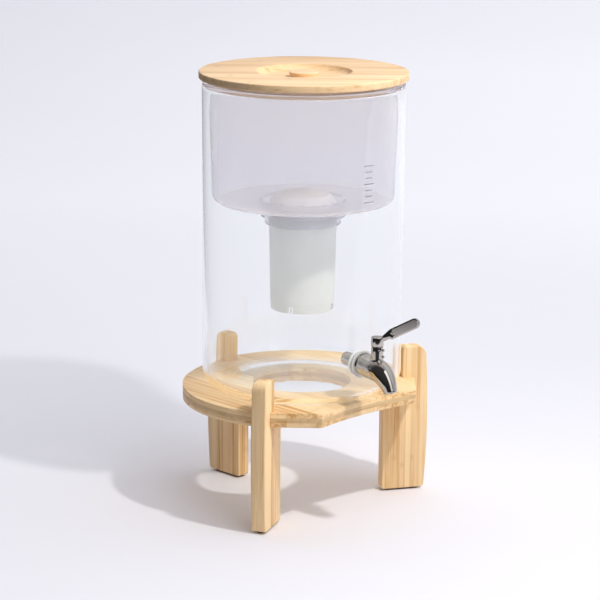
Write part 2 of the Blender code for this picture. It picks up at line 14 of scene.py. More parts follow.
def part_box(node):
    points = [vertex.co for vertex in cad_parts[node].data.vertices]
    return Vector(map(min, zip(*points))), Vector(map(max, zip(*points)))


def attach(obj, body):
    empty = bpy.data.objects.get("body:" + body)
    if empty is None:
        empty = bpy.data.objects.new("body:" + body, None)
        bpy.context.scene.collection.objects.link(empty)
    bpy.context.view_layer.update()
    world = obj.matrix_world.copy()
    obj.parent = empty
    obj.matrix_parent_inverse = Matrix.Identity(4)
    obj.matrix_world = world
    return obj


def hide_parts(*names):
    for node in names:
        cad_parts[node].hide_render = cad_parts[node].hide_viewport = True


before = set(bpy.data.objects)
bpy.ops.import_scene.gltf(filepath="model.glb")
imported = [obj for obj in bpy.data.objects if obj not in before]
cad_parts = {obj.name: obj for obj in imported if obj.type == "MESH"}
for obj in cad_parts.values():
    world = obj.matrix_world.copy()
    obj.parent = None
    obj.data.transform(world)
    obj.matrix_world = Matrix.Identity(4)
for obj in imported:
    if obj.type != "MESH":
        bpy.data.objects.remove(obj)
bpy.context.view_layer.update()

MM = 0.001
jar_low, jar_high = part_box("glass_jar")
AXIS = (jar_low + jar_high) / 2
AXIS.z = 0.0

LEG_TURNS = {"leg_back": 91.0, "leg_front_right": -28.5, "leg_front_left": -152.5}
SPIGOT_TURN = -8.1
LEVER_TURN = 24.1
SPIGOT_Z = 170.0
STEM_AT = 129.8
GAP = 0.3


# ---------------------------------------------------------------- mesh helpers


def place(turn=0.0, x=0.0):
    """The jar's axis, turned about Z in degrees, then moved out x millimetres."""
    turned = Matrix.Translation(AXIS) @ Matrix.Rotation(math.radians(turn), 4, "Z")
    return turned @ Matrix.Translation((x * MM, 0, 0))


STAND = place()
SPIGOT = place(-90 + SPIGOT_TURN)
SPIGOT_BORE = SPIGOT @ Matrix.Translation((0, 0, SPIGOT_Z * MM))
STEM = place(-90 + SPIGOT_TURN, STEM_AT)
LEVER = STEM @ Matrix.Rotation(math.radians(LEVER_TURN), 4, "Z")


def smoothed(mesh, angle):
    """Shades a mesh smooth, but for edges sharper than angle."""
    mesh.shade_smooth()
    mesh.set_sharp_from_angle(angle=math.radians(angle))


def finish_mesh(name, bm, where, angle=32):
    """Links a mesh in millimetres as an object at where, smooth but for edges sharper than angle."""
    bmesh.ops.remove_doubles(bm, verts=bm.verts, dist=0.0005)
    bmesh.ops.recalc_face_normals(bm, faces=bm.faces)
    bm.transform(Matrix.Scale(MM, 4))
    mesh = bpy.data.meshes.new(name)
    bm.to_mesh(mesh)
    bm.free()
    smoothed(mesh, angle)
    obj = bpy.data.objects.new(name, mesh)
    bpy.context.scene.collection.objects.link(obj)
    obj.matrix_world = where
    return obj


def applied(obj, angle=None):
    """Replaces a piece's mesh by what its modifiers make of it."""
    bpy.context.view_layer.update()
    mesh = bpy.data.meshes.new_from_object(obj.evaluated_get(bpy.context.evaluated_depsgraph_get()))
    obj.modifiers.clear()
    obj.data = mesh
    if angle:
        smoothed(mesh, angle)


def combine(obj, tools, operation="DIFFERENCE"):
    """Cuts or joins tools into a piece one by one, and removes them."""
    for tool in tools:
        modifier = obj.modifiers.new("combine", "BOOLEAN")
        modifier.operation = operation
        modifier.solver = "EXACT"
        modifier.object = tool
    applied(obj)
    for tool in tools:
        bpy.data.objects.remove(tool)


def bevelled(obj, width, segments=3, angle=30):
    modifier = obj.modifiers.new("bevel", "BEVEL")
    modifier.width = width * MM
    modifier.segments = segments
    modifier.limit_method = "ANGLE"
    modifier.angle_limit = math.radians(angle)
    modifier.harden_normals = True
    applied(obj)


def arc(cx, cy, radius, start, end, steps):
    turns = [math.radians(start + (end - start) * i / steps) for i in range(steps + 1)]
    return [(cx + radius * math.cos(t), cy + radius * math.sin(t)) for t in turns]


def filleted(corners, steps=5):
    """A closed outline with an arc at each (x, y, radius) corner. Plain (x, y) corners stay sharp."""
    points = []
    for i, corner in enumerate(corners):
        here = Vector(corner[:2])
        before = Vector(corners[i - 1][:2]) - here
        after = Vector(corners[(i + 1) % len(corners)][:2]) - here
        if len(corner) < 3 or before.length < 1e-6 or after.length < 1e-6:
            points.append(tuple(here))
            continue
        half = before.angle(after) / 2
        back = min(corner[2] / math.tan(half), 0.495 * before.length, 0.495 * after.length)
        inward = (before.normalized() + after.normalized()).normalized()
        centre = here + inward * (back / math.cos(half))
        start = here + before.normalized() * back - centre
        end = here + after.normalized() * back - centre
        first = math.atan2(start.y, start.x)
        sweep = (math.atan2(end.y, end.x) - first + math.pi) % math.tau - math.pi
        for k in range(steps + 1):
            turn = first + sweep * k / steps
            offset = Vector((math.cos(turn), math.sin(turn))) * start.length
            points.append(tuple(centre + offset))
    return points


def lathe(name, outline, where=STAND, steps=192, angle=32, axis="Z"):
    """A closed (radius, height) outline turned about Z, or about X where height runs along X."""
    bm = bmesh.new()
    rings = []
    for radius, height in outline:
        count = steps if radius > 1e-4 else 1
        turns = [math.tau * k / count for k in range(count)]
        rings.append([bm.verts.new((radius * math.cos(t), radius * math.sin(t), height)) for t in turns])
    for one, two in zip(rings, rings[1:] + rings[:1]):
        if len(one) == len(two) == 1:
            continue
        for k in range(steps):
            loop = [one[k % len(one)], one[(k + 1) % len(one)], two[(k + 1) % len(two)], two[k % len(two)]]
            bm.faces.new(list(dict.fromkeys(loop)))
    if axis == "X":
        bm.transform(Matrix.Rotation(math.radians(90), 4, "Y"))
    return finish_mesh(name, bm, where, angle)


def extruded(name, outline, low, high, where=STAND, upright=False):
    """An outline made solid between two heights, or between two sides of the XZ plane if upright."""
    bm = bmesh.new()
    if upright:
        base = bm.faces.new([bm.verts.new((x, low, z)) for x, z in outline])
    else:
        base = bm.faces.new([bm.verts.new((x, y, low)) for x, y in outline])
    raised = bmesh.ops.extrude_face_region(bm, geom=[base])["geom"]
    step = (0, high - low, 0) if upright else (0, 0, high - low)
    bmesh.ops.translate(bm, verts=[g for g in raised if isinstance(g, bmesh.types.BMVert)], vec=step)
    return finish_mesh(name, bm, where)


def block(low, high, where):
    """A cutter with square sides between two corners."""
    outline = [(low[0], low[1]), (high[0], low[1]), (high[0], high[1]), (low[0], high[1])]
    return extruded("cutter", outline, low[2], high[2], where)


def bar(start, end, radius, where=STAND, steps=64):
    """A round bar between two points."""
    start, end = Vector(start), Vector(end)
    bm = bmesh.new()
    length = (end - start).length
    bmesh.ops.create_cone(bm, cap_ends=True, segments=steps, radius1=radius, radius2=radius, depth=length)
    turn = Vector((0, 0, 1)).rotation_difference(end - start).to_matrix().to_4x4()
    bm.transform(Matrix.Translation((start + end) / 2) @ turn)
    return finish_mesh("cutter", bm, where)


def between(a, b, c, d, t):
    """The point a share t of the way from b to c, on a smooth curve through a, b, c and d."""
    return 0.5 * (2 * b + (c - a) * t + (2 * a - 5 * b + 4 * c - d) * t**2 + (3 * b - 3 * c + d - a) * t**3)


def swept(name, stations, where, around, pieces):
    """A round body through (distance, height, radius) stations in the XZ plane, its ends flat."""
    padded = [stations[0], *stations, stations[-1]]
    points = []
    for i in range(len(stations) - 1):
        p0, p1, p2, p3 = padded[i : i + 4]
        for j in range(pieces):
            points.append([between(*values, j / pieces) for values in zip(p0, p1, p2, p3)])
    points.append(list(stations[-1]))
    bm = bmesh.new()
    rings = []
    for i, (x, z, radius) in enumerate(points):
        before, after = points[max(i - 1, 0)], points[min(i + 1, len(points) - 1)]
        along = Vector((after[0] - before[0], 0, after[1] - before[1])).normalized()
        across = along.cross(Vector((0, 1, 0)))
        ring = []
        for k in range(around):
            turn = math.tau * k / around
            side = Vector((0, radius * math.sin(turn), 0))
            ring.append(bm.verts.new(Vector((x, 0, z)) + across * (radius * math.cos(turn)) + side))
        rings.append(ring)
    for one, two in zip(rings, rings[1:]):
        for k in range(around):
            bm.faces.new((one[k], one[(k + 1) % around], two[(k + 1) % around], two[k]))
    bm.faces.new(rings[0])
    bm.faces.new(rings[-1])
    return finish_mesh(name, bm, where)


# ---------------------------------------------------------------- materials


class Nodes:
    """A short way to write a node tree."""

    def __init__(self, tree):
        self.tree = tree

    def add(self, kind, inputs=None, **settings):
        node = self.tree.nodes.new(f"ShaderNode{kind}")
        for key, value in settings.items():
            setattr(node, key, value)
        for key, value in (inputs or {}).items():
            self.put(node.inputs[key], value)
        return node

    def put(self, socket, value):
        if isinstance(value, bpy.types.NodeSocket):
            self.tree.links.new(value, socket)
        elif isinstance(value, bpy.types.Node):
            self.tree.links.new(value.outputs[0], socket)
        else:
            socket.default_value = value

    def math(self, operation, a, b=0.0, **settings):
        return self.add("Math", {0: a, 1: b}, operation=operation, **settings).outputs[0]

    def dot(self, a, b):
        return self.add("VectorMath", {0: a, 1: b}, operation="DOT_PRODUCT").outputs["Value"]

    def pick(self, share, a, b):
        """Vector a where share is 0, and vector b where it is 1."""
        return self.add("Mix", {0: share, 4: a, 5: b}, data_type="VECTOR").outputs[1]

    def point(self):
        return self.add("TexCoord").outputs["Object"]

    def scaled(self, point, scale, turn=(0, 0, 0), shift=(0, 0, 0)):
        turn = [math.radians(t) for t in turn]
        moved = self.add("Mapping", {"Vector": point, "Rotation": turn, "Location": shift})
        return self.add("Mapping", {"Vector": moved.outputs[0], "Scale": scale}).outputs[0]

    def noise(self, point, scale=1.0, detail=2.0, roughness=0.5):
        inputs = {"Vector": point, "Scale": scale, "Detail": detail, "Roughness": roughness}
        return self.add("TexNoise", inputs).outputs["Fac"]

    def ramp(self, value, stops):
        node = self.add("ValToRGB", {0: value})
        elements = node.color_ramp.elements
        while len(elements) < len(stops):
            elements.new(0.5)
        for element, (position, colour) in zip(elements, stops):
            element.position = position
            element.color = (*colour, 1.0)
        return node.outputs[0]

    def span(self, value, low, high, new_low, new_high, **settings):
        """Value taken from low..high to new_low..new_high, and held at either end."""
        inputs = {0: value, 1: low, 2: high, 3: new_low, 4: new_high}
        return self.add("MapRange", inputs, clamp=True, **settings).outputs[0]

    def mix(self, share, a, b, blend="MIX"):
        node = self.add("Mix", data_type="RGBA", blend_type=blend)
        self.put(node.inputs[0], share)
        self.put(node.inputs[6], (*a, 1.0) if isinstance(a, tuple) else a)
        self.put(node.inputs[7], (*b, 1.0) if isinstance(b, tuple) else b)
        return node.outputs[2]


class Surface(Nodes):
    """The node tree of a new material."""

    def __init__(self, name):
        self.material = bpy.data.materials.new(name)
        self.material.use_nodes = True
        super().__init__(self.material.node_tree)
        self.shader = self.tree.nodes["Principled BSDF"]
        self.out = self.tree.nodes["Material Output"]

    def bump(self, height, strength, distance):
        node = self.add("Bump", {"Height": height, "Strength": strength, "Distance": distance * MM})
        self.put(self.shader.inputs["Normal"], node.outputs[0])

    def set(self, **values):
        for key, value in values.items():
            self.put(self.shader.inputs[key.replace("_", " ").title().replace("Ior", "IOR")], value)


STRIP_T, KNUCKLE_PITCH = 5.2, 190.0


def bamboo(name, turn, strip, light, dark, seed, plies=None):
    """Pressed bamboo with its grain along local X after turn: strips of slightly different tone, fine
    fibres that show as dots on end faces, and faint knuckles. Strips are strip millimetres wide and
    STRIP_T thick. plies = (low, high) gives the board a crosswise middle ply between those heights."""
    n = Surface(name)
    point = n.point()
    level = n.add("SeparateXYZ", {0: point}).outputs[2]
    along = n.scaled(point, (1, 1, 1), turn, (seed, seed * 0.7, 0))
    if plies:
        crosswise = n.scaled(point, (1, 1, 1), (0, 0, turn[2] + 90), (seed + 0.3, seed, 0))
        above = n.math("GREATER_THAN", level, plies[0] * MM)
        below = n.math("LESS_THAN", level, plies[1] * MM)
        middle = n.math("MULTIPLY", above, below)
        along = n.pick(middle, along, crosswise)
    axes = n.add("SeparateXYZ", {0: along}).outputs
    wander = n.noise(n.scaled(along, (2.5, 14, 14)), 1.0, 1.0)
    across = n.math("ADD", n.math("DIVIDE", axes[1], strip * MM), n.math("MULTIPLY", wander, 0.06))
    layer = n.math("FLOOR", n.math("DIVIDE", axes[2], STRIP_T * MM))
    which = n.add("CombineXYZ", {0: n.math("FLOOR", across), 1: layer, 2: seed}).outputs[0]
    tone = n.add("TexWhiteNoise", {"Vector": which}, noise_dimensions="3D").outputs[0]
    fibres = n.noise(n.scaled(along, (9, 520, 520)), 1.0, 3.0, 0.62)
    streaks = n.noise(n.scaled(along, (3.2, 150, 150)), 1.0, 2.0, 0.55)
    cloud = n.noise(n.scaled(along, (7, 26, 26)), 1.0, 2.0)
    grain = n.math("ADD", n.math("MULTIPLY", fibres, 0.42), n.math("MULTIPLY", streaks, 0.40))
    grain = n.math("ADD", grain, n.math("MULTIPLY", cloud, 0.18))
    value = n.math("ADD", grain, n.math("MULTIPLY", n.math("SUBTRACT", tone, 0.5), 0.17))
    middling = tuple((a + 2 * b) / 3 for a, b in zip(dark, light))
    colour = n.ramp(value, [(0.34, dark), (0.47, middling), (0.63, light)])
    # Knuckles: a soft darker fleck across each strip, at a different place in each.
    place_in = n.math("ADD", n.math("DIVIDE", axes[0], KNUCKLE_PITCH * MM), n.math("MULTIPLY", tone, 7.3))
    ripple = n.math("SUBTRACT", n.noise(n.scaled(along, (30, 120, 60)), 1.0, 2.0), 0.5)
    ripple = n.math("MULTIPLY", ripple, 0.05)
    spot = n.math("ABSOLUTE", n.math("SUBTRACT", n.math("FRACT", n.math("ADD", place_in, ripple)), 0.5))
    knuckle = n.span(spot, 0.0, 0.026, 1.0, 0.0)
    edge = n.math("ABSOLUTE", n.math("SUBTRACT", n.math("FRACT", across), 0.5))
    knuckle = n.math("MULTIPLY", knuckle, n.span(edge, 0.30, 0.46, 1.0, 0.0))
    knuckle = n.math("MULTIPLY", knuckle, n.span(fibres, 0.38, 0.60, 0.25, 0.75))
    colour = n.mix(n.math("MULTIPLY", knuckle, 0.35), colour, (0.46, 0.25, 0.10))
    seam = n.span(edge, 0.485, 0.5, 0.0, 0.30)
    colour = n.mix(seam, colour, (0.52, 0.30, 0.13))
    if plies:
        colour = n.mix(n.math("MULTIPLY", middle, 0.42), colour, (0.42, 0.24, 0.10))
    n.set(base_color=colour, roughness=n.span(fibres, 0.3, 0.7, 0.50, 0.36), specular_ior_level=0.32)
    n.bump(n.math("ADD", n.math("MULTIPLY", fibres, 0.7), n.math("MULTIPLY", seam, -1.0)), 0.18, 0.25)
    return n.material


def let_light_through(n, surface, lamp_share, room_share, colour):
    """Light reaches what is behind this surface: a share of the lamp's light and one of the room's pass,
    in a colour. A ray caught inside the wall is let out after three inner reflections."""
    path = n.add("LightPath")
    clear = n.add("BsdfTransparent", {0: (*colour, 1.0)})
    lamps = n.math("MULTIPLY", path.outputs["Is Shadow Ray"], lamp_share)
    room = n.math("MULTIPLY", path.outputs["Is Diffuse Ray"], room_share)
    caught = n.math("GREATER_THAN", path.outputs["Glossy Depth"], 2.5)
    through = n.math("MAXIMUM", n.math("MAXIMUM", lamps, room), caught)
    through = n.add("MixShader", {0: through, 1: surface, 2: clear})
    n.put(n.out.inputs["Surface"], through)


def glass():
    """Clear glass with the faint waves of a blown wall."""
    n = Surface("jar_glass")
    n.set(base_color=(0.985, 0.994, 0.991, 1.0), roughness=0.0, ior=1.45, transmission_weight=1.0)
    swirl = n.noise(n.scaled(n.point(), (9, 9, 5)), 1.0, 2.0)
    n.bump(swirl, 0.05, 1.2)
    let_light_through(n, n.shader.outputs[0], 1.0, 1.0, (0.984, 0.99, 0.99))
    return n.material


def frosted():
    """The reservoir's milky lilac plastic: mostly soft see-through, with a little lit body."""
    n = Surface("frosted_lilac")
    mottle = n.noise(n.scaled(n.point(), (40, 40, 22)), 1.0, 3.0)
    fine = n.noise(n.point(), 2600, 2.0, 0.6)
    tint = n.mix(n.span(mottle, 0.3, 0.7, 0.0, 1.0), (0.984, 0.982, 1.0), (0.99, 0.989, 1.0))
    n.set(base_color=tint, roughness=0.09, ior=1.13, transmission_weight=0.97)
    n.bump(fine, 0.10, 0.05)
    glow = n.add("BsdfTranslucent", {0: (0.96, 0.955, 1.0, 1.0)})
    body = n.add("MixShader", {0: 0.22, 1: n.shader.outputs[0], 2: glow.outputs[0]})
    let_light_through(n, body.outputs[0], 0.55, 0.8, (0.97, 0.965, 0.995))
    return n.material


def moulded(name, low, high, roughness, subsurface=0.0):
    """Moulded plastic or rubber with a faint mottle and skin texture."""
    n = Surface(name)
    mottle = n.noise(n.scaled(n.point(), (60, 60, 34)), 1.0, 3.0)
    skin = n.noise(n.point(), 1900, 2.0, 0.6)
    n.set(base_color=n.mix(n.span(mottle, 0.3, 0.7, 0.0, 1.0), low, high))
    n.set(roughness=n.span(skin, 0.3, 0.7, roughness - 0.05, roughness + 0.06))
    if subsurface:
        n.set(subsurface_weight=subsurface, subsurface_radius=(1.0, 1.0, 0.9), subsurface_scale=0.003)
    n.bump(skin, 0.16, 0.08)
    return n.material


def polished(name, colour, roughness):
    """Polished stainless steel, with faint rubbing marks."""
    n = Surface(name)
    haze = n.noise(n.scaled(n.point(), (90, 90, 90)), 1.0, 3.0, 0.6)
    warm = tuple(c * 0.93 for c in colour)
    n.set(base_color=n.mix(n.span(haze, 0.35, 0.7, 0.0, 1.0), colour, warm), metallic=1.0)
    n.set(roughness=n.span(haze, 0.3, 0.75, roughness, roughness + 0.05))
    n.bump(haze, 0.04, 0.03)
    return n.material


def granules():
    """Loose black carbon, a pattern of small rounded cells."""
    n = Surface("carbon_granules")
    cells = n.add("TexVoronoi", {"Vector": n.point(), "Scale": 900}).outputs
    n.set(base_color=n.ramp(cells[0], [(0.1, (0.03, 0.03, 0.03)), (0.7, (0.10, 0.10, 0.10))]), roughness=0.85)
    n.bump(cells[0], 0.8, 0.6)
    return n.material


WOOD_LIGHT, WOOD_DARK = (0.99, 0.735, 0.42), (0.64, 0.345, 0.115)
LEG_WOOD = {
    name: bamboo(f"leg_bamboo_{i}", (0, 90, 0), 26.0, WOOD_LIGHT, WOOD_DARK, seed=1.7 * i + 0.4)
    for i, name in enumerate(LEG_TURNS)
}
LID_LIGHT, LID_DARK = (0.90, 0.66, 0.40), (0.64, 0.37, 0.15)
PLATFORM_PLIES = (116.5, 121.2)
PLATFORM_WOOD = bamboo("platform_bamboo", (0, 0, 90), 22.0, WOOD_LIGHT, WOOD_DARK, 5.1, PLATFORM_PLIES)
LID_WOOD = bamboo("lid_bamboo", (0, 0, 44), 22.0, LID_LIGHT, LID_DARK, seed=2.3)
DOWEL_WOOD = bamboo("dowel_bamboo", (0, 90, 0), 8.0, WOOD_LIGHT, WOOD_DARK, seed=3.3)
GLASS = glass()
FROSTED = frosted()
WHITE = moulded("white_plastic_shell", (0.70, 0.715, 0.685), (0.74, 0.755, 0.725), 0.42, 0.2)
# Painted light: the cap's white is painted lighter than the housing's, standing in for light scattered onto
# it inside the milky reservoir.
CAP_WHITE_PAINTED_LIGHT = moulded("white_plastic_cap_painted_light", (0.93, 0.94, 0.93), (0.96, 0.97, 0.96), 0.42, 0.2)
SILICONE = moulded("milky_silicone", (0.70, 0.71, 0.69), (0.76, 0.77, 0.75), 0.38, 0.4)
RUBBER = moulded("foot_rubber_dark", (0.085, 0.075, 0.07), (0.12, 0.105, 0.095), 0.75)
FELT = moulded("felt_fibre", (0.82, 0.82, 0.79), (0.90, 0.90, 0.88), 0.9)
STEEL = polished("polished_steel", (0.57, 0.535, 0.49), 0.05)
INK = moulded("grey_print", (0.30, 0.30, 0.33), (0.36, 0.36, 0.39), 0.5)
CARBON = granules()


def dress(obj, material, body, slot, *nodes):
    """Gives a piece its material and body, and hides the CAD nodes that it stands for. The slot is not used.
    """
    obj.data.materials.clear()
    obj.data.materials.append(material)
    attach(obj, body)
    if nodes:
        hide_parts(*nodes)


def repaint(name, material):
    """A CAD node that keeps its shape gets a better material."""
    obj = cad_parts[name]
    obj.data.materials.clear()
    obj.data.materials.append(material)


# ---------------------------------------------------------------- stand

# Turns are about the jar's axis, radii from it and heights above the standing surface.
PLATFORM_TOP, PLATFORM_T, PLATFORM_R = 126.4, 14.8, 126.0
LEG_T, LEG_INNER_R, LEG_OUTER_R, LEG_UPPER_INNER_R, LEG_TOP = 15.4, 88.9, 139.0, 109.8, 159.5
FOOT_T = 1.8
DOWEL_AT, DOWEL_HOLE_R = 99.0, 4.3


def platform_outline():
    """Round board with a shallow scoop at the front (-Y) and a straight facet at each end of it."""
    facet_distance, facet_turn, scoop_distance, scoop_r = 120.5, 45.0, 95.5, 400.0
    scoop_y = -scoop_distance - scoop_r
    right = -90 + facet_turn + math.degrees(math.acos(facet_distance / PLATFORM_R))
    normal = Vector((math.sin(math.radians(facet_turn)), -math.cos(math.radians(facet_turn))))
    along = Vector((-normal.y, normal.x))
    foot = normal * facet_distance - Vector((0, scoop_y))
    b = foot.dot(along)
    root = math.sqrt(b * b - foot.length_squared + scoop_r**2)
    corners = [normal * facet_distance + along * (-b + side * root) for side in (-1, 1)]
    corner = next(c for c in corners if abs(c.x) <= PLATFORM_R)
    half = math.degrees(math.asin(corner.x / scoop_r))
    rim = arc(0, 0, PLATFORM_R, right, 180 - right, 150)
    return rim + arc(0, scoop_y, scoop_r, 90 + half, 90 - half, 40)


def make_platform():
    low, hole_r, dowel_depth = PLATFORM_TOP - PLATFORM_T, 52.0, 9.3
    board = extruded("platform_board", platform_outline(), low, PLATFORM_TOP)
    cutters = [bar((0, 0, low - 5), (0, 0, PLATFORM_TOP + 5), hole_r, steps=128)]
    half = LEG_T / 2 + GAP
    slot_low, slot_high = (LEG_UPPER_INNER_R - GAP, -half, low - 5), (PLATFORM_R + 10, half, PLATFORM_TOP + 5)
    for turn in LEG_TURNS.values():
        cutters.append(block(slot_low, slot_high, place(turn)))
    combine(board, cutters)
    bevelled(board, 1.2, 4)
    start, end = (DOWEL_AT, 0, low - 5), (DOWEL_AT, 0, low + dowel_depth)
    holes = [bar(start, end, DOWEL_HOLE_R, place(turn), 24) for turn in LEG_TURNS.values()]
    combine(board, holes)
    smoothed(board.data, 34)
    dress(board, PLATFORM_WOOD, "stand", "bamboo", "platform")


def leg_outline():
    """A leg seen from its side: straight inside with a bracket under the platform, bellied outside."""
    low = FOOT_T + GAP
    shoulder = PLATFORM_TOP - PLATFORM_T - GAP
    belly_z, belly_drop, belly_span = 80.0, 2.9, 75.0

    def outer(z):
        return LEG_OUTER_R - belly_drop * ((z - belly_z) / belly_span) ** 2

    points = arc(LEG_INNER_R + 2, low + 2, 2, -180, -90, 4)
    points += arc(outer(low + 4) - 4, low + 4, 4, -90, 0, 6)
    points += [(outer(z), z) for z in range(12, 146, 7)]
    points += arc(outer(LEG_TOP - 10) - 10, LEG_TOP - 10, 10, 0, 90, 10)
    points += arc(LEG_UPPER_INNER_R + 5, LEG_TOP - 5, 5, 90, 180, 6)
    points += [(LEG_UPPER_INNER_R, shoulder), (LEG_INNER_R - 6, shoulder)]
    points += arc(LEG_INNER_R - 14, shoulder - 14, 14, 55, 0, 8)
    return points


def make_leg(name, turn):
    where = place(turn)
    leg = extruded(f"{name}_shaped", leg_outline(), -LEG_T / 2, LEG_T / 2, where, upright=True)
    bevelled(leg, 1.7, 4)
    shoulder, dowel_depth = PLATFORM_TOP - PLATFORM_T, 16.3
    housing_low = (LEG_INNER_R - 20, -LEG_T, shoulder - GAP)
    housing = block(housing_low, (LEG_UPPER_INNER_R, LEG_T, PLATFORM_TOP + GAP), where)
    hole = bar((DOWEL_AT, 0, shoulder - dowel_depth), (DOWEL_AT, 0, shoulder + 5), DOWEL_HOLE_R, where, 24)
    combine(leg, [housing, hole])
    smoothed(leg.data, 34)
    dress(leg, LEG_WOOD[name], "stand", "bamboo", name)
    repaint(name.replace("leg", "dowel"), DOWEL_WOOD)
    inner, outer, middle = LEG_INNER_R + 2.5, LEG_OUTER_R - 8, LEG_T / 2 - 2.5
    outline = arc(inner + middle, 0, middle, 90, 270, 16) + arc(outer - middle, 0, middle, -90, 90, 16)
    pad = extruded(name.replace("leg", "pad"), outline, 0, FOOT_T, where)
    bevelled(pad, 0.4, 2, 50)
    dress(pad, RUBBER, "stand", "foot_rubber", name.replace("leg", "foot_pad"))


# ---------------------------------------------------------------- jar

JAR_R, JAR_WALL, JAR_BOTTOM, JAR_BASE_T, JAR_TOP = 105.0, 4.0, 126.7, 5.0, 443.0
JAR_CORNER_R = 18
SHANK_HOLE_R = 6.1


def make_jar():
    """A straight wall with a rounded lip, an even wall round its foot and a base domed on both sides."""
    inner, floor, corner_r = JAR_R - JAR_WALL, JAR_BOTTOM + JAR_BASE_T, JAR_CORNER_R - JAR_WALL
    under = [(0, 4.6), (18, 4.5), (35, 4.2), (49, 3.6), (60, 2.7), (68, 1.6), (74, 0.5), (78, 0), (84, 0)]
    upper = [(78, 0), (73, 0.6), (67, 1.6), (59, 2.6), (48, 3.4), (34, 4.0), (17, 4.3), (0, 4.4)]
    heights = [156, 162, 168, 175, 181, 187, 200, 240, 300, 360, 420]
    points = [(radius, JAR_BOTTOM + rise) for radius, rise in under]
    points += arc(JAR_R - JAR_CORNER_R, JAR_BOTTOM + JAR_CORNER_R, JAR_CORNER_R, -88, 0, 20)
    points += [(JAR_R, z) for z in [150, *heights]]
    points += arc(JAR_R - JAR_WALL / 2, JAR_TOP - JAR_WALL / 2, JAR_WALL / 2, 0, 180, 12)
    points += [(inner, z) for z in reversed(heights)]
    points += arc(inner - corner_r, floor + corner_r, corner_r, 0, -86, 16)
    points += [(radius, floor + rise) for radius, rise in upper]
    jar = lathe("jar_shell", points, steps=240, angle=60)
    combine(jar, [bar((90, 0, SPIGOT_Z), (115, 0, SPIGOT_Z), SHANK_HOLE_R, SPIGOT, 48)])
    dress(jar, GLASS, "jar", "glass", "glass_jar")


def make_level_marks():
    """A plain scale printed on the glass: evenly spaced short lines, every third one longer."""
    turn, low, pitch, count, long_half, short_half = -5.2, 337.0, 6.2, 7, 6.5, 4.2
    section = [(JAR_R + 0.02, -0.55), (JAR_R + 0.14, -0.5), (JAR_R + 0.14, 0.5), (JAR_R + 0.02, 0.55)]
    bm = bmesh.new()
    for i in range(count):
        z = low + pitch * i
        half = long_half if i % 3 == 0 else short_half
        columns = []
        for k in range(13):
            angle = math.radians(turn - 90) + (half * (k / 6 - 1)) / JAR_R
            c, s = math.cos(angle), math.sin(angle)
            columns.append([bm.verts.new((radius * c, radius * s, z + rise)) for radius, rise in section])
        for one, two in zip(columns, columns[1:]):
            for j in range(4):
                bm.faces.new((one[j], one[(j + 1) % 4], two[(j + 1) % 4], two[j]))
        bm.faces.new(columns[0])
        bm.faces.new(columns[-1])
    dress(finish_mesh("level_marks", bm, STAND), INK, "jar", None)


# ---------------------------------------------------------------- spigot

BODY_STATIONS = [
    (108.2, SPIGOT_Z, 11.0),
    (110, SPIGOT_Z, 11.5),
    (112.5, SPIGOT_Z - 0.2, 11.7),
    (120, SPIGOT_Z - 1.0, 11.9),
    (128, SPIGOT_Z - 1.0, 12.0),
    (136, SPIGOT_Z - 2.4, 11.5),
    (143, SPIGOT_Z - 6.2, 10.4),
    (148.5, SPIGOT_Z - 11.8, 9.0),
    (152, SPIGOT_Z - 17.4, 7.5),
    (153.4, SPIGOT_Z - 20.6, 6.8),
]
WATERWAY_STATIONS = [
    (74.7, SPIGOT_Z, 3.6),
    (118, SPIGOT_Z, 3.6),
    (STEM_AT, SPIGOT_Z - 0.6, 3.2),
    (138, SPIGOT_Z - 2.8, 3.6),
    (144, SPIGOT_Z - 7.0, 4.2),
    (149, SPIGOT_Z - 12.4, 4.6),
    (152.3, SPIGOT_Z - 18.0, 4.9),
    (154.2, SPIGOT_Z - 23.2, 5.1),
]
STEM_R, STEM_TOP, COLLAR_LOW, PLUG_SEAT_R = 6.1, 193.8, 184.0, 3.9
FLANGE_IN, FLANGE_OUT, FLANGE_R = 107.3, 108.9, 12.4
SHANK_IN, SHANK_R = 79.7, 5.8
STOP_TURN, STOP_R, STOP_REACH, STOP_HEIGHTS = 28, 1.3, 1.7, (183.4, 190.2)


